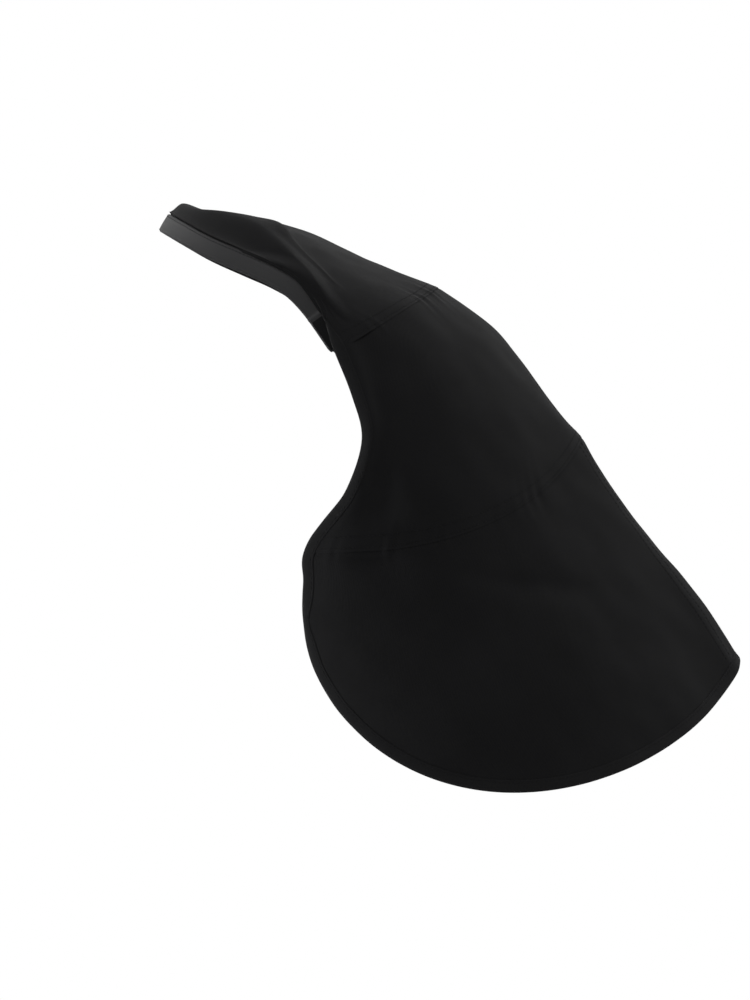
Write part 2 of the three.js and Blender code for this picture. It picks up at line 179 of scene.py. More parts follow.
# Sections, from the band down to the hem: bows that run from the left front edge, over the centre line, to
# the right front edge.
#   apexX, apexZ   where the bow crosses the centre line
#   edgeX, edgeZ   where it ends on the front edge
#   halfWidth      its widest reach to the side
#   wrap           degrees that it curls on round to the front past its widest place
#   ridge          degrees by which the centre line is pinched into a ridge
#   round          how far the ridge is rounded, as a share of the way to the front edge
#   lateRise       0 for a plane arch, 1 for a bow that stays low along the side and climbs at the back
#   dip            drop of its lowest stretch below a plain bow
#   lip            flare of the front edge away from the head
SECTION_COLUMNS = "apexX apexZ edgeX edgeZ halfWidth wrap ridge round lateRise dip lip".split()
SECTIONS = [
    [2.0, 8.0, 102.2, -57.4, 122.0, 0, 0, 0, 0, 0, 0],
    [40.0, 7.2, 104.0, -62.5, 122.0, 1, 0, 0, 0, 0, 1],
    [86.0, -3.4, 106.0, -69.0, 122.0, 2, 0, 0, 0, 0, 2],
    [131.0, -22.8, 108.1, -75.8, 122.0, 3, 0, 0.02, 0.02, 0, 3],
    [175.5, -41.0, 110.8, -83.0, 122.0, 4, 0, 0.05, 0.05, 0, 4],
    [207.0, -63.2, 121.6, -110.5, 122.5, 6, 4, 0.16, 0.3, 0, 4],
    [227.0, -84.3, 127.6, -137.5, 124.0, 9, 8, 0.16, 0.5, 0, 3],
    [247.2, -111.8, 116.8, -170.5, 127.0, 14, 12, 0.14, 0.65, 0, 2],
    [266.8, -139.4, 91.4, -207.0, 131.0, 20, 16, 0.12, 0.8, 2, 1],
    [294.4, -177.8, 91.4, -222.0, 136.0, 22, 18, 0.1, 0.55, 20, 0.5],
    [320.1, -211.7, 90.6, -232.0, 141.0, 24, 20, 0.08, 0.3, 42, 0],
    [347.3, -244.8, 90.4, -241.5, 146.0, 26, 22.5, 0.065, 0.1, 64, 0],
    [372.0, -281.6, 91.2, -250.8, 150.0, 27, 25, 0.055, -0.12, 87, 0],
]
APEX_COLUMNS = ("apexX", "apexZ")
# The front edge turns quickly at the neck seam, so it has more places there: section number, edgeX, edgeZ.
EDGE_TURN = [(7.3, 110.6, -179.0), (7.6, 102.0, -189.4), (7.85, 94.6, -199.6), (8.4, 90.2, -213.4)]
# How far the right front edge, which the left one hides, stays behind it: section number, distance.
RIGHT_BEHIND = [(0, 0), (5.5, 0), (6.5, 3), (7.2, 5.5), (8, 5.5), (9, 4.6), (10, 3.2), (11, 1.5), (12, 0)]
RIGHT_FROM = 0.6  # place across where it starts to fall behind
TIERS = {"crown": (0, 4), "back": (4, 8), "skirt": (8, 12)}
DIP_SKEW = 0.66  # brings the lowest stretch of a dipped bow forward of its middle
DIP_FULLNESS = 0.84  # below 1, the dip is rounder than a plain wave
FLARE_FROM = 0.8  # place across where the front edge starts to flare
LEAST_ROUND = 0.001

# Folds: soft ridges and hollows that stand off the plain bows.
#   tier, place down it at the centre line and at the front edge, spread up and down, stretch across, height
FOLDS = [
    ("back", 0.94, 0.94, 0.05, 0.04, 0.66, 0.94, 1.6),
    ("skirt", 0.05, 0.05, 0.03, 0.06, 0.66, 0.94, -1.8),
    ("back", 1.0, 1.0, 0.08, 0.08, -1.1, 1.1, 1.8),
    ("skirt", 0.0, 0.0, 0.06, 0.06, -1.1, 1.1, 1.8),
    ("skirt", 0.637, -0.141, 0.05, 0.07, 0.12, 0.7, -2),
]
# The roll of cloth that stands behind the band and runs out at its ends.
#   degrees round the band, how far the crest is behind it, height, spread in front of the crest and behind it
POUF = [
    (0, 9, 5.5, 9, 9),
    (22, 12, 5.5, 12, 14),
    (36, 19, 9.5, 19, 24),
    (50, 23, 12, 23, 28),
    (63, 22, 11, 22, 26),
    (72, 16, 8.5, 16, 20),
    (80, 9.5, 6, 9.5, 14),
    (85, 5.5, 4, 5.5, 10),
    (90, 2, 1, 2, 6),
    (98, 2, 0, 2, 6),
]
# The roll stays below the crown's top line by this margin. That sets in between these places across.
TOP_MARGIN = 0.8
TOP_LINE_FROM = 0.08
TOP_LINE_FULL = 0.25
# A sharp crease runs down from the roll to the front edge: place across, distance behind the band, height.
CREASE = [
    (0.27, 60, 0),
    (0.36, 62, 2.2),
    (0.48, 61, 2.2),
    (0.57, 66, 1.2),
    (0.64, 73, 0),
    (0.72, 82, 0),
]
CREASE_FRONT = 9  # its spread to the front and to the back
CREASE_BEHIND = 3.5
FOLDS_TO = 0.55  # places down the crown between which its folds die out
FOLDS_END = 0.93
# The lip along the front edge, and the valley behind it, which runs straight down.
#   place down the tier, distance of the valley from the front edge, its depth, height of the lip
LIP = {
    "back": [
        (0, 20, 1.0, 0.8),
        (0.2, 18, 2.0, 1.5),
        (0.42, 15, 2.5, 1.8),
        (0.62, 15, 2.8, 2.0),
        (0.8, 26, 3.5, 2.2),
        (1, 54, 3.2, 1.6),
    ],
    "skirt": [(0, 54, 3.2, 1.6), (0.25, 70, 1.5, 1.0), (0.5, 80, 0, 0.4), (1, 80, 0, 0)],
}
VALLEY_SPREAD = 0.45  # these three as shares of the valley's distance from the edge
LIP_PLACE = 0.4
LIP_SPREAD = 0.3

# Soft unevenness of the hanging cloth: height, seed, wavelength. On the crown it sets in
# between these places down.
SWELLS = [(0.5, 11, 70), (0.2, 12, 26)]
SWELL_LENGTHS = (0.7, 1.5)  # least and most, as shares of the wavelength
SWELLS_FROM = 0.02
SWELLS_FULL = 0.2
# Small gathers along a seam, by the tier above it
PUCKER_HEIGHT = 0.45
PUCKER_SPREAD = 7
PUCKER_LENGTH = 11
PUCKER_WAVES = 3
PUCKER_PATCH = 60  # length of a stretch with more or fewer of them
PUCKER_PATCH_RANGE = (-0.6, 1.2)
PUCKER_SEEDS = {"crown": 21, "back": 31}
PUCKER_FADE = {"crown": (0.6, 0.85), "back": (0.9, 1.0)}  # places across between which they die out
RIPPLE_LENGTHS = (0.6, 1.6)  # least and most, as shares of the wavelength

# How the crown's width is spread round the band: place across, degrees round the band.
GATHER = [(0, 0), (0.3, 27), (0.55, 50.4), (0.75, 71), (0.9, 85.5), (1, 90)]
# At its sides the cloth laps over the band's ends. The first four are degrees round the band.
LAP_FROM = 59.4  # it starts to rise over the band
LAP_FULL = 72  # it is clear above the band
LAP_FREE = 79.2  # it may slide forward over the band
LAP_END = 90  # it has slid all the way
LAP_HEIGHT = 4.7  # of its outer face above the band's inner face
LAP_SLIDE = 3  # how far its corner slides forward
LAP_FADE = 12  # behind the band's edge, where the cloth has come down again
CLEARANCE = 0.3
# Places down the crown: where its thickness is measured out of the band, and where its lines turn into bows
LAP_EDGE = 0.06
LAP_EASE = 0.16
LINES_TO = 0.3
BOWS_FROM = 0.66

# Where the crown's top edge goes: tucked under the band, or at the sides forward over its rear edge.
# Each row of the tuck gives the outer face and the inner one, as places along the band's width and out of it.
TUCK = [
    ((BAND_HALF - 5.5, 1.15), (BAND_HALF - 5.5, 0.05)),
    ((BAND_HALF - 0.8, 1.18), (BAND_HALF + 0.4, 0.1)),
    ((BAND_HALF + 0.22, 1.5), (BAND_HALF + 1.35, 0.5)),
]
SIDE_LAP = [1.6, 1.1, 0.5]  # how far forward each of these rows goes instead
SIDE_LAP_FROM = 54  # degrees round the band
SIDE_LAP_FULL = 63

SIDE = np.array([0, 1, 0])
UP = np.array([0, 0, 1])
BAND_BACK = np.array([math.cos(BAND_SLOPE), 0, -math.sin(BAND_SLOPE)])

Panel = namedtuple("Panel", "outer inner down across")


# Numbers
def smooth(x, low, high):
    share = np.clip((x - low) / (high - low), 0, 1)
    return share * share * (3 - 2 * share)


def mix(a, b, share):
    return a + (b - a) * share


def unit(vectors):
    return vectors / np.maximum(np.linalg.norm(vectors, axis=-1, keepdims=True), LEAST_LENGTH)


def dot(a, b):
    return (a * b).sum(-1)


def bump(off, spread):
    return np.exp(-((off / spread) ** 2))


def side_bump(off, front, behind):
    return bump(off, np.where(off < 0, front, behind))


def crowded(count, amount):
    """Steps from 0 to 1 that are finer at both ends."""
    steps = np.linspace(0, 1, count + 1)
    return mix(steps, smooth(steps, 0, 1), amount)


def spline_through(places, values):
    """A smooth curve through a table, read at any places between its ends."""
    places = np.asarray(places, float)
    values = np.asarray(values, float)
    last = len(places) - 1

    def read(at):
        at = np.clip(np.asarray(at, float), places[0], places[-1])
        upper = np.clip(np.searchsorted(places, at, side="right"), 1, last)
        lower = upper - 1
        before = np.where(lower > 0, lower - 1, upper)
        after = np.where(upper < last, upper + 1, lower)
        step = places[upper] - places[lower]
        lead = step / 2 / (places[lower] - places[before])
        trail = step / 2 / (places[after] - places[upper])
        p = (at - places[lower]) / step
        total = values[before] * (-lead * p**3 + 2 * lead * p**2 - lead * p)
        total += values[lower] * ((1 + lead) * p**3 - (1.5 + 2 * lead) * p**2 + (lead - 0.5) * p + 1)
        total += values[upper] * (-(1 + trail) * p**3 + (1.5 + trail) * p**2 + 0.5 * p)
        return total + values[after] * (trail * p**3 - trail * p**2)

    return read


def curves_through(rows):
    """Smooth curves through the columns of a table, by the values of its first column."""
    places, *columns = zip(*rows)
    return [spline_through(places, values) for values in columns]


def ripple(at, seed, wavelength, count=5):
    """An irregular wave along a line, mostly between -1 and 1."""
    draw = np.random.default_rng(seed)
    total = 0
    for _ in range(count):
        length = wavelength * draw.uniform(*RIPPLE_LENGTHS)
        total = total + np.sin(math.tau * at / length + draw.uniform(0, math.tau))
    return total / math.sqrt(count)


def billow(points, seed, wavelength, count=10):
    """Irregular swells in space, mostly between -1 and 1."""
    draw = np.random.default_rng(seed)
    total = 0
    for _ in range(count):
        way = unit(draw.normal(size=3))
        length = wavelength * draw.uniform(*SWELL_LENGTHS)
        total = total + np.sin(math.tau * (points @ way) / length + draw.uniform(0, math.tau))
    return total / math.sqrt(count)


# The plain shape of the cover
section_numbers = range(len(SECTIONS))
section_values = dict(zip(SECTION_COLUMNS, zip(*SECTIONS)))
edge_rows = list(zip(section_numbers, section_values["edgeX"], section_values["edgeZ"]))
flowing = {
    name: spline_through(section_numbers, section_values[name])
    for name in SECTION_COLUMNS
    if name not in APEX_COLUMNS
}
flowing["edgeX"], flowing["edgeZ"] = curves_through(sorted(EDGE_TURN + edge_rows))
[flowing["rightBehind"]] = curves_through(RIGHT_BEHIND)
apex_of = {
    tier: {
        name: spline_through(section_numbers[first : last + 1], section_values[name][first : last + 1])
        for name in APEX_COLUMNS
    }
    for tier, (first, last) in TIERS.items()
}
[band_lift] = curves_through(BAND_PATH)
[gathered_to] = curves_through(GATHER)


def section_at(tier, down):
    first, last = TIERS[tier]
    place = mix(first, last, down)
    return {name: read(place) for name, read in {**flowing, **apex_of[tier]}.items()}


def bow_points(section, across):
    """Points of bows. across runs from -1 at the left front edge to 1 at the right one."""
    reach = np.abs(across)
    rounded = reach * np.tanh(reach / np.maximum(section["round"], LEAST_ROUND))
    start = np.radians(section["ridge"])
    end = np.radians(90 + section["wrap"])
    angle = mix(start, end, reach)
    rounded_angle = mix(start, end, rounded)

    def side_share(at):
        return (np.sin(at) - np.sin(start)) / (1 - np.sin(start))

    plane_rise = (np.cos(rounded_angle) - np.cos(end)) / (np.cos(start) - np.cos(end))
    late_rise = 1 - side_share(np.minimum(rounded_angle, math.pi / 2))
    rise = mix(plane_rise, late_rise, section["lateRise"])
    wave = np.maximum(np.sin(math.pi * (1 - rounded) ** DIP_SKEW), 0)
    flare = section["lip"] * smooth(reach, FLARE_FROM, 1)
    x = mix(section["edgeX"], section["apexX"], plane_rise)
    x = x + section["rightBehind"] * smooth(across, RIGHT_FROM, 1)
    y = np.sign(across) * (section["halfWidth"] * side_share(angle) + flare)
    z = mix(section["edgeZ"], section["apexZ"], rise) - section["dip"] * wave**DIP_FULLNESS
    return np.stack(np.broadcast_arrays(x, y, z), -1)


def band_points(degrees):
    angle = np.radians(degrees)[..., None]
    out = -np.cos(angle) * BAND_BACK + np.sin(angle) * SIDE
    point = BAND_RADIUS * (BAND_BACK + out)
    point[..., 2] += band_lift(np.abs(degrees))
    return point, out


def band_run(degrees):
    """The way that the band runs, over two short steps."""
    return band_points(degrees + BAND_STEP)[0] - band_points(degrees - BAND_STEP)[0]


def band_frames(degrees):
    """The middle of the band's inner face, and the directions along its width and out of it."""
    point, out = band_points(degrees)
    return point, unit(np.cross(unit(band_run(degrees)), out)), out


def on_band(degrees, along, out):
    point, along_way, out_way = band_frames(degrees)
    return point + np.asarray(along)[..., None] * along_way + np.asarray(out)[..., None] * out_way


def band_degrees(across):
    """Where round the band the cloth is held, by its place across."""
    return np.sign(across) * gathered_to(np.abs(across))


def lap_at(across):
    """How the cloth passes the band: its rise over it, its hold behind it and its slide forward."""
    degrees = np.abs(band_degrees(across))
    rise = smooth(degrees, LAP_FROM, LAP_FULL)
    return rise, 1 - smooth(degrees, LAP_FULL, LAP_FREE), smooth(degrees, LAP_FREE, LAP_END)


def band_seat(across):
    """Where the crown's top edge sits, behind the band or over its end."""
    rise, _, slide = lap_at(across)
    return on_band(
        band_degrees(across),
        BAND_HALF + BAND_CREASE - LAP_SLIDE * slide,
        mix(BAND_THICKNESS, LAP_HEIGHT, rise),
    )


def from_band(points):
    """The nearest degrees on the band, the places along its width and out of it, and those two directions."""
    stop_points = band_points(BAND_STOPS)[0]
    flat = points.reshape(-1, 3)
    nearest = np.concatenate([
        ((part[:, None] - stop_points) ** 2).sum(-1).argmin(1)
        for part in np.array_split(flat, SEARCH_PARTS)
    ])
    run = band_run(BAND_STOPS)
    past = dot(flat - stop_points[nearest], run[nearest]) / dot(run, run)[nearest]
    degrees = np.clip(BAND_STOPS[nearest] + past, -BAND_END, BAND_END).reshape(points.shape[:-1])
    point, along, out = band_frames(degrees)
    return degrees, dot(points - point, along), dot(points - point, out), along, out


def clear_of_band(points, across, height):
    """Moves points of the crown back behind the band's rear edge, or up where the sides lap over its ends."""
    _, place, above, along, out = from_band(points)
    rise, hold, _ = lap_at(across)
    behind = place - BAND_HALF
    lift = rise * (1 - smooth(behind, CLEARANCE, LAP_FADE)) * np.maximum(0, height - above)
    back = hold * np.maximum(0, BAND_CREASE - behind)
    return points + back[..., None] * along + lift[..., None] * out


def crown_points(down, across):
    """Straight lines that leave the band, bulged along the middle, and bows nearer the crown seam."""
    share = down[..., None]
    middle = 0 * across
    top, here, seam = (section_at("crown", place) for place in (0 * down, down, 0 * down + 1))
    bulge = bow_points(here, middle) - mix(bow_points(top, middle), bow_points(seam, middle), share)
    lines = mix(band_seat(across), bow_points(seam, across), share)
    bulged = lines + bulge * np.cos(math.pi / 2 * across)[..., None] ** 2
    return mix(bulged, bow_points(here, across), smooth(share, LINES_TO, BOWS_FROM))


def cover_points(tier, down, across):
    if tier == "crown":
        return crown_points(down, across)
    return bow_points(section_at(tier, down), across)


# Lengths along the cloth
def running_length(points, axis):
    steps = np.linalg.norm(np.diff(points, axis=axis), axis=-1)
    return np.concatenate([np.zeros_like(np.take(steps, [0], axis)), np.cumsum(steps, axis)], axis)


def tier_lengths(tier):
    """How long a tier is down the cloth, from the centre line to the front edge."""
    down = LENGTH_ROWS[:, None] + 0 * LENGTH_PLACES
    return running_length(cover_points(tier, down, 0 * down + LENGTH_PLACES), 0)[-1]


def seam_length(tier):
    """Half the length of the seam at a tier's lower end."""
    return running_length(cover_points(tier, 1 + 0 * LENGTH_PLACES, LENGTH_PLACES), 0)[-1]


lengths_of = {tier: tier_lengths(tier) for tier in TIERS}
seam_lengths = {tier: seam_length(tier) for tier in PUCKER_SEEDS}


def length_down(tier, across):
    return np.interp(np.abs(across), LENGTH_PLACES, lengths_of[tier])


def edge_distance(points, across):
    """How far each point of a panel is from its nearer front edge."""
    run = running_length(points, 1)
    to_left = np.where(across[:, :1] < -AT_FRONT, run, np.inf)
    to_right = np.where(across[:, -1:] > AT_FRONT, run[:, -1:] - run, np.inf)
    return np.minimum(to_left, to_right)


def past_seam(tier, above, lapped, down, across):
    """How far each point is below the seam at a panel's top, or above it where it is lapped."""
    over = (down - 1) * length_down(above, across)
    return np.where(lapped, over, down * length_down(tier, across))


# What stands off the plain shape
def fold_height(tier, down, across):
    reach = np.abs(across)
    height = np.zeros(np.broadcast(down, across).shape)
    for fold_tier, at_centre, at_edge, before, after, start, end, peak in FOLDS:
        if fold_tier != tier:
            continue
        profile = side_bump(down - mix(at_centre, at_edge, reach), before, after)
        along = np.clip((reach - start) / (end - start), 0, 1)
        height = height + peak * profile * np.sin(math.pi * along) ** 2
    return height


def crown_folds(plain, down, across):
    """The roll behind the band and the crease that runs down from it."""
    degrees, place, above, _, _ = from_band(plain)
    from_rear = np.hypot(np.maximum(place - BAND_HALF, 0), np.maximum(BAND_THICKNESS - above, 0))
    crest, height, front, behind = (read(np.abs(degrees)) for read in curves_through(POUF))
    off = from_rear - crest
    total = height * np.where(off < 0, smooth(off, -front, 0), bump(off, behind))
    line, sharp = (read(np.abs(across)) for read in curves_through(CREASE))
    from_crease = down * length_down("crown", across) - line
    total = total + np.maximum(sharp, 0) * side_bump(from_crease, CREASE_FRONT, CREASE_BEHIND)
    return total * (1 - smooth(down, FOLDS_TO, FOLDS_END))


def lip_height(tier, down, from_edge):
    valley, depth, lip = (read(down) for read in curves_through(LIP[tier]))
    hollow = bump(from_edge - valley, VALLEY_SPREAD * valley)
    edge = bump(from_edge - LIP_PLACE * valley, LIP_SPREAD * valley)
    return lip * edge - depth * hollow


def puckers(upper_tier, from_seam, across):
    """Small gathers that the seam's thread pulls into the cloth."""
    along = across * seam_lengths[upper_tier]
    seed = PUCKER_SEEDS[upper_tier]
    strength = smooth(ripple(along, seed, PUCKER_PATCH), *PUCKER_PATCH_RANGE)
    strength = strength * (1 - smooth(np.abs(across), *PUCKER_FADE[upper_tier]))
    wave = ripple(along, seed + 1, PUCKER_LENGTH, PUCKER_WAVES)
    return PUCKER_HEIGHT * strength * wave * np.exp(-np.abs(from_seam) / PUCKER_SPREAD)


def relief(tier, above, lapped, down, across, plain):
    """Soft unevenness of the hanging cloth, and the puckers along its seams."""
    height = sum(swell * billow(plain, seed, wavelength) for swell, seed, wavelength in SWELLS)
    if tier == "crown":
        height = height * smooth(down, SWELLS_FROM, SWELLS_FULL)
    if above:
        height = height + puckers(above, past_seam(tier, above, lapped, down, across), across)
    if tier in PUCKER_SEEDS:
        height = height + puckers(tier, (1 - down) * length_down(tier, across), across) * ~lapped
    return height


def pressed(to_edge):
    """How much thinner the upper layer of a seam is, by the distance from its edge."""
    return SEAM_PRESS * (1 - smooth(to_edge, 0, SEAM_PRESS_SPREAD))


def sunk(past_edge):
    """How deep the lower layer of a seam lies, by the distance past the upper layer's edge."""
    return (LAYER - pressed(-past_edge)) * (1 - smooth(past_edge, SEAM_SINK, SEAM_EASE))


def welt(off):
    return WELT * side_bump(off, WELT_LEFT, WELT_RIGHT)


def left_seam(run):
    """The left half of the skirt rises to a soft welt at its edge, where it is pressed thinner."""
    to_edge = run[:, -1:] - run
    return welt(-to_edge), 0, pressed(to_edge)


def right_seam(run):
    """The right half runs a layer lower under the left one, and comes up on the far side of the welt."""
    past_edge = run - SEAM_LAP[0]
    return welt(past_edge), sunk(past_edge), 0


def below_top_line(points, across):
    """Lowers what stands above the crown's centre line, seen from the side."""
    centre = np.abs(across[0]).argmin()
    limit = np.interp(points[..., 0], points[:, centre, 0], points[:, centre, 2]) - TOP_MARGIN
    share = smooth(np.abs(across), TOP_LINE_FROM, TOP_LINE_FULL)
    over = np.maximum(0, points[..., 2] - limit) * share
    return points - over[..., None] * UP


def grid_normals(points):
    return unit(np.cross(np.gradient(points, axis=0), np.gradient(points, axis=1)))


# Panels: grids of places on the tiers. The first rows may lie in the tier above, under its edge.
def panel_places(tier, across, above=None):
    """Tier of each row, and the places down and across of each point."""
    down = crowded(ROWS[tier], ROW_CROWDING)
    tiers = [tier] * len(down)
    across = np.broadcast_to(across, (len(down), across.shape[-1]))
    down = down[:, None] + 0 * across
    if above is None:
        return tiers, down, across
    first = np.broadcast_to(across[:1], (LAP_ROWS, across.shape[1]))
    lap = 1 - np.array(SEAM_LAP)[:, None] / length_down(above, first)
    return [above] * LAP_ROWS + tiers, np.concatenate([lap, down]), np.concatenate([first, across])


def by_tier(measure, tiers, down, across, width=()):
    """Measures each row of a panel on its own tier."""
    result = np.empty(across.shape + width)
    for tier in set(tiers):
        rows = np.array([row_tier == tier for row_tier in tiers])
        result[rows] = measure(tier, down[rows], across[rows])
    return result


def panel_faces(tier, across, above=None, seam_of=None):
    """Outer and inner faces of a panel, with the places of its points."""
    tiers, down, across = panel_places(tier, across, above)
    lapped = np.array([row_tier != tier for row_tier in tiers])[:, None]
    plain = by_tier(cover_points, tiers, down, across, (3,))
    height = by_tier(fold_height, tiers, down, across) + relief(tier, above, lapped, down, across, plain)
    if tier == "crown":
        height = height + crown_folds(plain, down, across)
    else:
        height = height + lip_height(tier, np.where(lapped, 0, down), edge_distance(plain, across))
    thickness = np.full(across.shape, CLOTH)
    if above:
        below = past_seam(tier, above, lapped, down, across)
        height = height - sunk(below)
    if tier in PUCKER_SEEDS:
        thickness = thickness - np.where(lapped, 0, pressed((1 - down) * length_down(tier, across)))
    if seam_of:
        raised, lowered, thinner = seam_of(running_length(plain, 1))
        height = height + raised * smooth(below, 0, WELT_EASE) - lowered
        thickness = thickness - thinner
    outer = plain + grid_normals(plain) * height[..., None]
    if tier == "crown":
        outer = clear_of_band(below_top_line(outer, across), across, LAP_HEIGHT)
    through = grid_normals(outer)
    if tier == "crown":
        edge = lap_at(across)[0] * (1 - smooth(down, LAP_EDGE, LAP_EASE))
        edge[0] = 1
        through = unit(mix(through, band_frames(band_degrees(across))[2], edge[..., None]))
    inner = outer - thickness[..., None] * through
    if tier == "crown":
        inner = clear_of_band(inner, across, LAP_HEIGHT - CLOTH)
    return Panel(outer, inner, down, across)


def with_top_edge(panel):
    """Adds the rows of the crown's top edge that are tucked under the band, or lap over it at the sides."""
    across = panel.across[0]
    degrees = band_degrees(across)
    lapped = smooth(np.abs(degrees), SIDE_LAP_FROM, SIDE_LAP_FULL)[:, None]
    _, along, _ = band_frames(degrees)
    faces = []
    for side, face in enumerate((panel.outer, panel.inner)):
        rows = []
        for tuck, forward in zip(TUCK, SIDE_LAP):
            tucked = on_band(degrees, *(np.full(across.shape, place) for place in tuck[side]))
            rows.append(mix(tucked, face[0] - forward * along, lapped))
        faces.append(np.concatenate([rows, face]))
    return faces


# Meshes
def grid_quads(number):
    """Faces between the rows and columns of a grid of point numbers."""
    a = number[:-1, :-1].ravel()
    b = number[1:, :-1].ravel()
    return np.stack([a, b, b + 1, a + 1], 1)


def wall_mesh(outer, inner):
    """A closed wall between two faces, with round edges: points, faces and each point's grid number."""
    rows, columns = outer.shape[:2]
    number = np.arange(rows * columns).reshape(rows, columns)
    loop = np.concatenate([number[0, :-1], number[:-1, -1], number[-1, :0:-1], number[:0:-1, 0]])
    row, column = np.divmod(loop, columns)
    within = number[np.clip(row, 1, rows - 2), np.clip(column, 1, columns - 2)]
    flat_outer = outer.reshape(-1, 3)
    flat_inner = inner.reshape(-1, 3)
    away = unit(flat_outer[loop] - flat_outer[within])
    middle = (flat_outer[loop] + flat_inner[loop]) / 2
    half = (flat_outer[loop] - flat_inner[loop]) / 2
    bulge = away * np.linalg.norm(half, axis=1, keepdims=True)
    rims = [middle + half * math.cos(a) + bulge * math.sin(a) for a in (math.pi / 3, 2 * math.pi / 3)]
    outside = grid_quads(number)
    inside = outside[:, ::-1] + number.size
    first_rim = 2 * number.size + np.arange(len(loop))
    rings = [loop, first_rim, first_rim + len(loop), loop + number.size]
    strips = [
        np.stack([here, np.roll(here, -1), np.roll(there, -1), there], 1)
        for here, there in zip(rings, rings[1:])
    ]
    points = np.concatenate([flat_outer, flat_inner, *rims])
    places = np.concatenate([number.ravel(), number.ravel(), loop, loop])
    return points, np.concatenate([outside, inside, *strips]), places


def add_object(name, data):
    thing = bpy.data.objects.new(name, data)
    bpy.context.scene.collection.objects.link(thing)
    return thing


def new_piece(name, points, faces, material):
    mesh = bpy.data.meshes.new(name)
    mesh.from_pydata((np.asarray(points) * MM).tolist(), [], np.asarray(faces).tolist())
    mesh.shade_smooth()
    mesh.materials.append(material)
    return add_object(name, mesh)


def give_map(piece, name, places):
    """A UV map in metres along the cloth, from each point's place."""
    mesh = piece.data
    corner = np.empty(len(mesh.loops), np.int32)
    mesh.loops.foreach_get("vertex_index", corner)
    uv = (places[corner] * MM).astype(np.float32).ravel()
    mesh.uv_layers.new(name=name).uv.foreach_set("vector", uv)


def give_attribute(piece, name, values):
    piece.data.attributes.new(name, "FLOAT", "POINT").data.foreach_set("value", values.astype(np.float32))


def wall_piece(name, faces, wear_and_highlight, material, centre):
    """A piece between two faces, with its weave mapped from its centre column."""
    outer, inner = faces
    points, quads, places = wall_mesh(outer, inner)
    piece = new_piece(name, points, quads, material)
    run = running_length(outer, 1)
    u = run - run[:, centre : centre + 1]
    v = running_length(outer, 0)
    give_map(piece, "weave", np.stack([u.ravel(), v.ravel()], 1)[places])
    give_attribute(piece, "wear_and_highlight", wear_and_highlight.ravel()[places])
    return piece


# Nodes
def feed(tree, socket, value):
    """Links a socket to another one, or sets its value."""
    if isinstance(value, bpy.types.NodeSocket):
        tree.links.new(value, socket)
    else:
        socket.default_value = value


def new_node(tree, kind, values=(), **settings):
    node = tree.nodes.new(kind)
    for name, value in settings.items():
        setattr(node, name, value)
    for name, value in dict(values).items():
        feed(tree, node.inputs[name], value)
    return node


def math_node(tree, operation, *values):
    node = new_node(tree, "ShaderNodeMath", operation=operation)
    for socket, value in zip(node.inputs, values):
        feed(tree, socket, value)
    return node.outputs[0]


def noise_node(tree, place, scale, detail):
    values = {"Vector": place, "Scale": scale, "Detail": detail}
    return new_node(tree, "ShaderNodeTexNoise", values).outputs["Fac"]


# Numbers of the sockets for colours on a mix node
MIX_FIRST = 6
MIX_SECOND = 7
MIX_RESULT = 2


def mix_colour(tree, share, first, second):
    node = new_node(tree, "ShaderNodeMix", data_type="RGBA")
    feed(tree, node.inputs[0], share)
    feed(tree, node.inputs[MIX_FIRST], (*first, 1))
    feed(tree, node.inputs[MIX_SECOND], (*second, 1))
    return node.outputs[MIX_RESULT]


def new_group(name, inputs, outputs):
    group = bpy.data.node_groups.new(name, "ShaderNodeTree")
    for label, kind, value in inputs:
        socket = group.interface.new_socket(label, in_out="INPUT", socket_type=kind)
        if value is not None:
            socket.default_value = value
    for label in outputs:
        group.interface.new_socket(label, in_out="OUTPUT", socket_type="NodeSocketFloat")
    return group, group.nodes.new("NodeGroupInput").outputs, group.nodes.new("NodeGroupOutput").inputs


# Materials
RIBS = 900.0  # per metre, unless a cloth has its own
RIB_NOISE = (160.0, 2.0)  # scale and detail of what makes the ribs uneven
RIB_DRIFT = 2.5  # how far it moves them, in radians
RIB_HEIGHT = 0.35
YARNS_PER_RIB = 1.5
YARN_HEIGHT = 0.15
MIDDLE = 0.5
PATCHES = 0.35  # strength of the patches, unless a cloth has its own
PATCH_NOISE = (14.0, 4.0)
PATCH_RANGE = {"From Min": 0.35, "From Max": 0.75}
RUB_NOISE = (420.0, 2.0)
RUB_LEAST = 0.4
YARN_SHARE = 0.25  # of the yarn, and of the wear and painted highlights, in the lighter rubbed colour
WEAR_AND_HIGHLIGHT_SHARE = 0.75
WORN_SMOOTHER = -0.12  # change of roughness in rubbed places and where a highlight is painted
BUMP_STRENGTH = 0.5
SHEEN_ROUGHNESS = 0.5


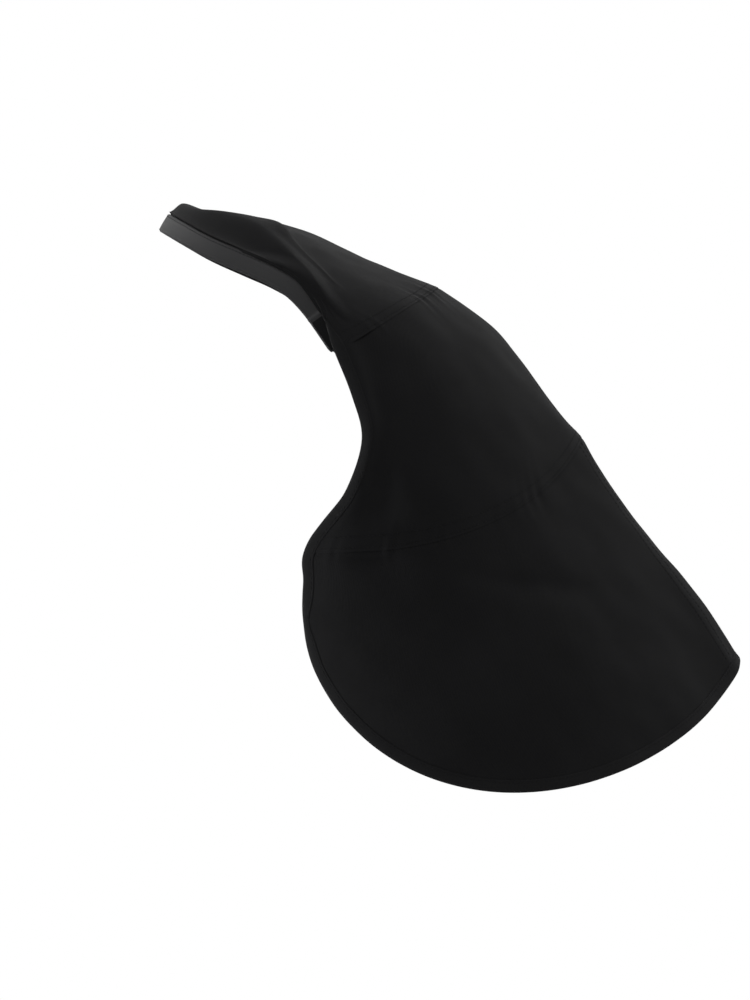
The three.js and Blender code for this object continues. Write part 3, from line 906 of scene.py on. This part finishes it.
def twill_weave():
    """Diagonal ribs of twisted yarn: height and a light or dark mask, from a map in metres."""
    group, given, result = new_group(
        "twill_weave",
        [("Map", "NodeSocketVector", None), ("Ribs per Metre", "NodeSocketFloat", RIBS)],
        ["Height", "Yarn"],
    )
    place = new_node(group, "ShaderNodeSeparateXYZ", {"Vector": given["Map"]}).outputs
    turn = math_node(group, "MULTIPLY", given["Ribs per Metre"], math.tau)
    across = math_node(group, "MULTIPLY", place["X"], turn)
    down = math_node(group, "MULTIPLY", place["Y"], turn)
    drift = math_node(group, "MULTIPLY", noise_node(group, given["Map"], *RIB_NOISE), RIB_DRIFT)
    rib = math_node(group, "SINE", math_node(group, "ADD", math_node(group, "ADD", across, down), drift))
    slant = math_node(group, "MULTIPLY", math_node(group, "SUBTRACT", across, down), YARNS_PER_RIB)
    ribs = math_node(group, "MULTIPLY_ADD", rib, RIB_HEIGHT, MIDDLE)
    height = math_node(group, "MULTIPLY_ADD", math_node(group, "SINE", slant), YARN_HEIGHT, ribs)
    feed(group, result["Height"], height)
    feed(group, result["Yarn"], math_node(group, "MULTIPLY_ADD", rib, MIDDLE, MIDDLE))
    return group


def cloth_wear_and_highlight():
    """Soft patches, rubbed places and painted highlights: a mask from 0, as new, to 1."""
    group, given, result = new_group(
        "cloth_wear_and_highlight",
        [
            ("Place", "NodeSocketVector", None),
            ("Rubbed and Highlit", "NodeSocketFloat", 0.0),
            ("Patches", "NodeSocketFloat", PATCHES),
        ],
        ["Mask"],
    )
    broad = noise_node(group, given["Place"], *PATCH_NOISE)
    fine = noise_node(group, given["Place"], *RUB_NOISE)
    patch = new_node(group, "ShaderNodeMapRange", {"Value": broad, **PATCH_RANGE}).outputs["Result"]
    patches = math_node(group, "MULTIPLY", patch, given["Patches"])
    rubbed_and_highlight = math_node(group, "MULTIPLY", given["Rubbed and Highlit"], math_node(group, "ADD", fine, RUB_LEAST))
    feed(group, result["Mask"], math_node(group, "MINIMUM", math_node(group, "ADD", patches, rubbed_and_highlight), 1.0))
    return group


weave_group = twill_weave()
wear_and_highlight_group = cloth_wear_and_highlight()


def cloth_material(name, new, rubbed_and_highlight, ribs, patches, roughness, depth, specular, sheen):
    """A woven cloth: its colour as new and its lighter colour for rubbed places and painted highlights, the
    scale and depth of its weave, and its finish.
    """
    material = bpy.data.materials.new(name)
    material.use_nodes = True
    tree = material.node_tree
    shader = tree.nodes["Principled BSDF"].inputs
    shader["Specular IOR Level"].default_value = specular
    shader["Sheen Weight"].default_value = sheen
    shader["Sheen Roughness"].default_value = SHEEN_ROUGHNESS
    cloth_map = new_node(tree, "ShaderNodeUVMap", uv_map="weave").outputs["UV"]
    place = new_node(tree, "ShaderNodeTexCoord").outputs["Object"]
    rub_and_highlight = new_node(tree, "ShaderNodeAttribute", attribute_name="wear_and_highlight").outputs["Fac"]
    weave_values = {"Map": cloth_map, "Ribs per Metre": ribs}
    wear_and_highlight_values = {"Place": place, "Rubbed and Highlit": rub_and_highlight, "Patches": patches}
    weave = new_node(tree, "ShaderNodeGroup", weave_values, node_tree=weave_group).outputs
    wear_and_highlight = new_node(tree, "ShaderNodeGroup", wear_and_highlight_values, node_tree=wear_and_highlight_group).outputs
    yarn = math_node(tree, "MULTIPLY", weave["Yarn"], YARN_SHARE)
    share = math_node(tree, "MULTIPLY_ADD", wear_and_highlight["Mask"], WEAR_AND_HIGHLIGHT_SHARE, yarn)
    bump_values = {"Height": weave["Height"], "Strength": BUMP_STRENGTH, "Distance": depth * MM}
    feed(tree, shader["Base Color"], mix_colour(tree, share, new, rubbed_and_highlight))
    feed(tree, shader["Roughness"], math_node(tree, "MULTIPLY_ADD", share, WORN_SMOOTHER, roughness))
    feed(tree, shader["Normal"], new_node(tree, "ShaderNodeBump", bump_values).outputs["Normal"])
    return material


cotton = cloth_material(
    "black_cotton_twill",
    new=(0.0076, 0.0076, 0.0081),
    rubbed_and_highlight=(0.021, 0.021, 0.0222),
    ribs=850,
    patches=0.3,
    roughness=0.95,
    depth=0.14,
    specular=0.1,
    sheen=0.06,
)
elastic = cloth_material(
    "grey_elastic_cover",
    new=(0.022, 0.022, 0.023),
    rubbed_and_highlight=(0.04, 0.04, 0.042),
    ribs=1300,
    patches=0.25,
    roughness=0.62,
    depth=0.06,
    specular=0.3,
    sheen=0.04,
)
bias_tape = cloth_material(
    "black_bias_tape",
    new=(0.0082, 0.0082, 0.0087),
    rubbed_and_highlight=(0.023, 0.023, 0.0243),
    ribs=1100,
    patches=0.3,
    roughness=0.9,
    depth=0.1,
    specular=0.12,
    sheen=0.06,
)
black_thread = cloth_material(
    "black_thread",
    new=(0.006, 0.006, 0.0065),
    rubbed_and_highlight=(0.014, 0.014, 0.015),
    ribs=2500,
    patches=0.2,
    roughness=0.8,
    depth=0.05,
    specular=0.15,
    sheen=0,
)

# The cloth panels
half = crowded(HALF_COLUMNS, CENTRE_CROWDING)
both_sides = np.concatenate([-half[::-1], half[1:]])


def skirt_columns():
    """Places across of the skirt's two halves, row by row. The left one ends short of the centre line."""
    down = crowded(ROWS["skirt"], ROW_CROWDING)
    step = cover_points("skirt", down, 0 * down - CENTRE_STEP) - cover_points("skirt", down, 0 * down)
    per_mm = CENTRE_STEP / np.linalg.norm(step, axis=1)[:, None]
    left = -mix(STRIP * per_mm, 1, half[::-1])
    strip = np.linspace(STRIP, 0, STRIP_COLUMNS, endpoint=False)
    under = np.concatenate([STRIP + np.array(SEAM_LAP), strip])
    right = np.concatenate([-under * per_mm, np.broadcast_to(half, (len(down), len(half)))], 1)
    return left, right


left_columns, right_columns = skirt_columns()
crown = panel_faces("crown", both_sides)
back = panel_faces("back", both_sides, "crown")
skirt_left = panel_faces("skirt", left_columns, "back", left_seam)
skirt_right = panel_faces("skirt", right_columns, "back", right_seam)


def edge_wear(panel, tier):
    """Rubbed places along the lapped edge at a panel's lower end."""
    return EDGE_WEAR * np.exp(-(1 - panel.down) * length_down(tier, panel.across) / EDGE_WEAR_SPREAD)


def strip_painted_highlight(panel):
    """Painted highlight along the edge of the welt at the centre back, in the lighter rubbed colour,
    strongest towards the hem.
    """
    run = running_length(panel.outer, 1)
    line = bump(run[:, -1:] - run - STRIP_PAINTED_HIGHLIGHT_PLACE, STRIP_PAINTED_HIGHLIGHT_SPREAD)
    return STRIP_PAINTED_HIGHLIGHT * smooth(panel.down, 0, STRIP_PAINTED_HIGHLIGHT_FULL) * line


crown_wear = np.concatenate([np.zeros((len(TUCK), len(both_sides))), edge_wear(crown, "crown")])
back_wear = edge_wear(back, "back")
back_wear[:LAP_ROWS] = 0
# The left half of the skirt takes the painted highlight along its welt.
left_painted_highlight = strip_painted_highlight(skirt_left)
right_wear = 0 * skirt_right.down
crown_piece = wall_piece("crown_cloth", with_top_edge(crown), crown_wear, cotton, HALF_COLUMNS)
back_piece = wall_piece("back_cloth", back[:2], back_wear, cotton, HALF_COLUMNS)
left_piece = wall_piece("skirt_left_cloth", skirt_left[:2], left_painted_highlight, cotton, HALF_COLUMNS)
right_piece = wall_piece("skirt_right_cloth", skirt_right[:2], right_wear, cotton, CENTRE_RIGHT)


# The band
def band_piece():
    degrees = np.linspace(-BAND_END, BAND_END, BAND_STEPS + 1)
    place, top, under = (np.array(values, float) for values in zip(*BAND_PROFILE))
    grid = degrees[:, None] + 0 * place
    painted_shade_sheath = PAINTED_SHADE_SHEATH * smooth(np.abs(grid), PAINTED_SHADE_FROM, PAINTED_SHADE_FROM + PAINTED_SHADE_RIM)
    end_fold_and_highlight = bump((np.abs(grid) - PAINTED_SHADE_FROM) / PAINTED_SHADE_RIM + COVER_END_PLACE, 1)
    outer = on_band(grid, place + 0 * grid, top + painted_shade_sheath + COVER_END * end_fold_and_highlight)
    inner = on_band(grid, place + 0 * grid, under + 0 * grid)
    # The fold also sets the lighter rubbed colour there: a painted highlight on the folded end.
    piece = wall_piece("rim_band", (outer, inner), end_fold_and_highlight, elastic, 0)
    # Past the sheath's start the band's faces take the black cotton: painted shade under the cloth's edge.
    piece.data.materials.append(cotton)
    face_degrees = np.repeat((degrees[1:] + degrees[:-1]) / 2, len(place) - 1)
    painted_shade_faces = np.zeros(len(piece.data.polygons), np.int32)
    painted_shade_faces[: 2 * len(face_degrees)] = np.tile(np.abs(face_degrees) > PAINTED_SHADE_FROM, 2)
    piece.data.polygons.foreach_set("material_index", painted_shade_faces)
    return piece


rim_band = band_piece()


# The tape round the free edge
def even_line(points, step):
    length = running_length(points, 0)
    at = np.linspace(0, length[-1], round(length[-1] / step) + 1)
    return np.stack([np.interp(at, length, points[:, k]) for k in range(3)], 1)


def softened(values, spread):
    """Averaged along the first axis, with the ends kept."""
    reach = int(3 * spread)
    weights = np.exp(-0.5 * (np.arange(-reach, reach + 1) / spread) ** 2)
    before = 2 * values[:1] - values[reach:0:-1]
    after = 2 * values[-1:] - values[-2 : -reach - 2 : -1]
    padded = np.concatenate([before, values, after])
    return np.apply_along_axis(np.convolve, 0, padded, weights / weights.sum(), "valid")


def front_edge(skirt, column):
    """A front edge from the crown's corner down to the row above the hem."""
    crown_rows = crown.down[:, 0] >= TAPE_FROM
    below_seam = LAP_ROWS + 1
    return np.concatenate([
        crown.outer[crown_rows, column],
        back.outer[below_seam:, column],
        skirt.outer[below_seam:-1, column],
    ])


def free_edge():
    """From the crown's left corner, down the front edge, round the hem and up the right front edge."""
    hem = [skirt_left.outer[-1, :-1], skirt_right.outer[-1, CENTRE_RIGHT:]]
    return np.concatenate([front_edge(skirt_left, 0), *hem, front_edge(skirt_right, -1)[::-1]])


def surface_finder(grids):
    """Finds the nearest place on the cloth's outer face, with its outward direction."""
    points = []
    faces = []
    count = 0
    for grid in grids:
        number = np.arange(grid[..., 0].size).reshape(grid.shape[:2]) + count
        faces.append(grid_quads(number))
        points.append(grid.reshape(-1, 3))
        count += number.size
    tree = BVHTree.FromPolygons(np.concatenate(points).tolist(), np.concatenate(faces).tolist())

    def find(targets):
        found = [tree.find_nearest(Vector(target))[:2] for target in targets]
        return np.array([place for place, _ in found]), np.array([way for _, way in found])

    return find


find_on_cloth = surface_finder([
    crown.outer,
    back.outer[LAP_ROWS:],
    skirt_left.outer[LAP_ROWS:],
    skirt_right.outer[LAP_ROWS:, LAP_ROWS + 1 :],
])


def both_legs(pairs):
    """Columns of points from the end of the inner leg, round the edge, to the end of the outer leg."""
    return np.stack([under for under, _ in pairs] + [over for _, over in pairs[::-1]], 1)


def tape_piece():
    """The tape, and the lines of its stitches."""
    edge = softened(even_line(free_edge(), TAPE_STEP), EDGE_SOFTNESS)
    out = unit(softened(find_on_cloth(edge)[1], WAY_SOFTNESS))
    away = unit(np.cross(np.gradient(edge, axis=0), out))
    outside = []
    inside = []
    for reach, height in TAPE_LEG:
        place, way = find_on_cloth(edge - reach * away)
        place = softened(place, LEG_SOFTNESS)
        way = unit(softened(way, WAY_SOFTNESS))
        outside.append((place - (CLOTH + height) * way, place + height * way))
        inside.append((place - (CLOTH + TAPE_UNDER) * way, place + TAPE_UNDER * way))
    middle = edge - CLOTH / 2 * out
    for reach, height, inner_reach in TAPE_FOLD:
        rise = (CLOTH / 2 + height) * out
        outside.append((middle - reach * away - rise, middle - reach * away + rise))
        rise = (CLOTH / 2 + TAPE_UNDER) * min(1, height * 2) * out
        inside.append((middle - inner_reach * away - rise, middle - inner_reach * away + rise))
    outer = both_legs(outside)
    piece = wall_piece("edge_tape", (outer, both_legs(inside)), 0 * outer[..., 0], bias_tape, 0)
    stitched = outer[TAPE_ENDS:-TAPE_ENDS]
    return piece, [stitched[:, -1 - GROOVE_ROW], stitched[:, GROOVE_ROW]]


edge_tape, tape_lines = tape_piece()

# Stitches
STITCH_SOCKETS = {
    "Lines": "NodeSocketGeometry",
    "Pitch": "NodeSocketFloat",
    "Length": "NodeSocketFloat",
    "Thickness": "NodeSocketFloat",
    "Seed": "NodeSocketInt",
    "Thread": "NodeSocketMaterial",
}
# Numbers of the sockets for plain numbers on a random value node
RANDOM_LEAST = 2
RANDOM_MOST = 3
RANDOM_RESULT = 1


def stitch_tree():
    """Short threads laid end to end along each line of a mesh."""
    tree = bpy.data.node_groups.new("stitch_rows", "GeometryNodeTree")
    inputs = {
        name: tree.interface.new_socket(name, in_out="INPUT", socket_type=kind).identifier
        for name, kind in STITCH_SOCKETS.items()
    }
    tree.interface.new_socket("Stitches", in_out="OUTPUT", socket_type="NodeSocketGeometry")
    given = tree.nodes.new("NodeGroupInput").outputs

    def made(kind, values=(), **settings):
        return new_node(tree, kind, values, **settings).outputs[0]

    lines = made("GeometryNodeMeshToCurve", {"Mesh": given["Lines"]})
    spacing = {"Curve": lines, "Length": given["Pitch"]}
    spots = made("GeometryNodeResampleCurve", spacing, mode="LENGTH")
    tangent = made("GeometryNodeInputTangent")
    turn = made("FunctionNodeAlignRotationToVector", {"Vector": tangent}, axis="X")
    uneven = new_node(tree, "FunctionNodeRandomValue", {"Seed": given["Seed"]}, data_type="FLOAT")
    least, most = STITCH_LENGTHS
    uneven.inputs[RANDOM_LEAST].default_value = least
    uneven.inputs[RANDOM_MOST].default_value = most
    length = math_node(tree, "MULTIPLY", given["Length"], uneven.outputs[RANDOM_RESULT])
    thick = given["Thickness"]
    size = made("ShaderNodeCombineXYZ", {"X": length, "Y": thick, "Z": thick})
    ball = {"Segments": THREAD_SIDES, "Rings": THREAD_RINGS, "Radius": 0.5}
    thread = made("GeometryNodeMeshUVSphere", ball)
    laying = {"Points": spots, "Instance": thread, "Rotation": turn, "Scale": size}
    real = made("GeometryNodeRealizeInstances", {"Geometry": made("GeometryNodeInstanceOnPoints", laying)})
    soft = made("GeometryNodeSetShadeSmooth", {"Geometry": real})
    done = made("GeometryNodeSetMaterial", {"Geometry": soft, "Material": given["Thread"]})
    feed(tree, tree.nodes.new("NodeGroupOutput").inputs["Stitches"], done)
    return tree, inputs


stitch_rows, stitch_inputs = stitch_tree()


def stitch_piece(name, lines, values):
    """Stitches along lines of points. values are the stitch tree's inputs, apart from the lines."""
    edges = []
    count = 0
    for line in lines:
        edges += [(count + k, count + k + 1) for k in range(len(line) - 1)]
        count += len(line)
    mesh = bpy.data.meshes.new(name + "_lines")
    mesh.from_pydata((np.concatenate(lines) * MM).tolist(), edges, [])
    carrier = add_object(name + "_lines", mesh)
    rows = carrier.modifiers.new("stitch_rows", "NODES")
    rows.node_group = stitch_rows
    for label, value in values.items():
        rows[stitch_inputs[label]] = value
    graph = bpy.context.evaluated_depsgraph_get()
    made = bpy.data.meshes.new_from_object(carrier.evaluated_get(graph))
    carrier.modifiers.remove(rows)
    bpy.data.objects.remove(carrier)
    return add_object(name, made)


def on_grid(grid, rows, columns):
    """Points of a grid between its rows and columns."""
    row = np.clip(rows.astype(int), 0, grid.shape[0] - 2)
    column = np.clip(columns.astype(int), 0, grid.shape[1] - 2)
    down = (rows - row)[:, None]
    right = (columns - column)[:, None]
    upper = mix(grid[row, column], grid[row, column + 1], right)
    lower = mix(grid[row + 1, column], grid[row + 1, column + 1], right)
    return mix(upper, lower, down)


def thread_line(grid, rows, columns):
    """A line just above the cloth."""
    return on_grid(grid, rows, columns) + THREAD_RISE * on_grid(grid_normals(grid), rows, columns)


def seam_lines(panel, tier, first_row):
    """Stitch lines on the upper panel, along its lapped edge."""
    outer = panel.outer[first_row:]
    down = panel.down[first_row:, 0]
    place = np.linspace(-SEAM_END, SEAM_END, SEAM_POINTS)
    columns = np.interp(place, panel.across[-1], np.arange(panel.across.shape[1]))
    lines = []
    for above in SEAM_ROWS:
        rows = np.interp(1 - above / length_down(tier, place), down, np.arange(len(down)))
        lines.append(thread_line(outer, rows, columns))
    return lines


def strip_lines():
    """Stitch lines on the left half of the skirt, along the centre back."""
    outer = skirt_left.outer[STRIP_START:STRIP_END]
    run = running_length(outer, 1)
    rows = np.arange(len(outer), dtype=float)
    lines = []
    for from_edge in STRIP_ROWS:
        columns = np.array([np.interp(row[-1] - from_edge, row, np.arange(len(row))) for row in run])
        lines.append(thread_line(outer, rows, columns))
    return lines


def band_line():
    degrees = np.linspace(-BAND_STITCH_END, BAND_STITCH_END, BAND_STITCH_POINTS)
    return on_band(degrees, *(np.full(BAND_STITCH_POINTS, place) for place in BAND_STITCH))


seam_thread = stitch_piece(
    "seam_thread",
    [
        *seam_lines(crown, "crown", 0),
        *seam_lines(back, "back", LAP_ROWS),
        *strip_lines(),
        *tape_lines,
        band_line(),
    ],
    {
        "Pitch": STITCH_PITCH * MM,
        "Length": STITCH_LENGTH * MM,
        "Thickness": STITCH_THICKNESS * MM,
        "Seed": STITCH_SEED,
        "Thread": black_thread,
    },
)

# Which body and node each piece stands for
for piece, nodes, slot in (
    (rim_band, ["front_band"], "band"),
    (crown_piece, ["crown_panel"], "cloth"),
    (back_piece, ["back_panel"], "cloth"),
    (left_piece, ["skirt_left"], "cloth"),
    (right_piece, ["skirt_right"], "cloth"),
    (edge_tape, ["edge_binding"], "tape"),
    (seam_thread, [], "tape"),
):
    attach(piece, "root")
    if nodes:
        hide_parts(*nodes)

# Each panel as it was cut: piece, flat width and length and area in metres, how it is held, what it hangs
# from and the trim on it
CUTS = [
    (crown_piece, (0.46, 0.2), 0.046, "gathered", rim_band, []),
    (back_piece, (0.54, 0.175), 0.0595, "hung", crown_piece, [edge_tape, seam_thread]),
    (left_piece, (0.41, 0.2), 0.05, "hung", back_piece, []),
    (right_piece, (0.44, 0.2), 0.0565, "hung", back_piece, []),
]
for piece, flat, area, held, carrier, trim in CUTS:
    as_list(trim)

# The stage
FLOOR_Z = -750
FLOOR_REACH = 6000
FLOOR_CORNERS = [(-1, -1), (1, -1), (1, 1), (-1, 1)]
FLOOR_GREY = (0.7, 0.7, 0.7, 1)
FLOOR_ROUGHNESS = 0.9
STUDIO_WHITE = (1, 1, 1, 1)
# Strength of the studio's light from the camera's side and from behind the object, and where each is reached
LIGHT_FROM_FRONT = 0.2
LIGHT_FROM_BEHIND = 0.7
FRONT_UP_TO = -0.6
BEHIND_FROM = 0.4
SEEN_KINDS = {"OUTPUT_WORLD": "ShaderNodeBackground", "OUTPUT_MATERIAL": "ShaderNodeEmission"}


def lit_or_seen(tree, lit, output):
    """Plain white where the camera looks, and another shader for the light that falls on the object."""
    seen = new_node(tree, SEEN_KINDS[output.node.type], {"Color": STUDIO_WHITE, "Strength": 1.0})
    ray = new_node(tree, "ShaderNodeLightPath").outputs["Is Camera Ray"]
    blend = tree.nodes.new("ShaderNodeMixShader")
    for socket, value in zip(blend.inputs, (ray, lit, seen.outputs[0])):
        feed(tree, socket, value)
    feed(tree, output, blend.outputs[0])


def floor_material():
    material = bpy.data.materials.new("pale_floor")
    material.use_nodes = True
    tree = material.node_tree
    shader = tree.nodes["Principled BSDF"]
    shader.inputs["Base Color"].default_value = FLOOR_GREY
    shader.inputs["Roughness"].default_value = FLOOR_ROUGHNESS
    lit_or_seen(tree, shader.outputs[0], tree.nodes["Material Output"].inputs["Surface"])
    return material


def studio_world():
    world = bpy.data.worlds.new("studio")
    world.use_nodes = True
    sky = world.node_tree
    direction = new_node(sky, "ShaderNodeTexCoord").outputs["Generated"]
    sideways = new_node(sky, "ShaderNodeSeparateXYZ", {"Vector": direction}).outputs["Y"]
    levels = {"To Min": LIGHT_FROM_FRONT, "To Max": LIGHT_FROM_BEHIND}
    places = {"From Min": FRONT_UP_TO, "From Max": BEHIND_FROM}
    strength = new_node(sky, "ShaderNodeMapRange", {"Value": sideways, **places, **levels}).outputs["Result"]
    background = sky.nodes["Background"]
    feed(sky, background.inputs["Color"], STUDIO_WHITE)
    feed(sky, background.inputs["Strength"], strength)
    lit_or_seen(sky, background.outputs[0], sky.nodes["World Output"].inputs["Surface"])
    return world


floor_points = [(x * FLOOR_REACH, y * FLOOR_REACH, FLOOR_Z) for x, y in FLOOR_CORNERS]
floor = new_piece("floor", floor_points, [range(len(FLOOR_CORNERS))], floor_material())
bpy.context.scene.world = studio_world()

# What the camera and the lights are turned to, in metres
LOOK_AT = Vector((0.1346, 0, -0.1788))
CROWN = Vector((0.1, -0.11, 0.0))
LOBE = Vector((0.09, -0.13, -0.25))
HEM = Vector((0.22, -0.13, -0.35))
# Soft lights: name, place, what it is turned to, width, spread in degrees, power
LIGHTS = [
    ("key_right", (1.85, -0.2, 0.9), LOOK_AT, 1.2, 180, 3.0),
    ("key_behind", (1.3, 0.9, 1.2), LOOK_AT, 1.0, 180, 3.4),
    ("fill_above_front", (-1.3, 0.9, 1.2), LOOK_AT, 1.0, 180, 6.5),
    ("fill_front", (-1.4, -0.3, -0.45), LOBE, 0.2, 18, 0.17),
    ("fill_crown", (-0.4, -1.1, 0.8), CROWN, 0.3, 26, 0.17),
    ("fill_hem", (0.25, -0.95, -0.68), HEM, 0.2, 17, 0.02),
]
CAMERA_DISTANCE = 2.6
CAMERA_ELEVATION = math.radians(2)
CAMERA_LENS = 144
CAMERA_SENSOR = 36


def turned_to(name, data, place, target):
    """An object at a place, which looks at a target."""
    thing = add_object(name, data)
    thing.location = place
    thing.rotation_euler = (target - Vector(place)).to_track_quat("-Z", "Y").to_euler()
    return thing


for name, place, target, width, spread, power in LIGHTS:
    lamp = bpy.data.lights.new(name, "AREA")
    lamp.size = width
    lamp.spread = math.radians(spread)
    lamp.energy = power
    turned_to(name, lamp, place, target)

lens = bpy.data.cameras.new("camera")
lens.lens = CAMERA_LENS
lens.sensor_width = CAMERA_SENSOR
way_back = Vector((0, -math.cos(CAMERA_ELEVATION), math.sin(CAMERA_ELEVATION)))
bpy.context.scene.camera = turned_to("camera", lens, LOOK_AT + CAMERA_DISTANCE * way_back, LOOK_AT)
bpy.context.scene.view_settings.view_transform = "Standard"
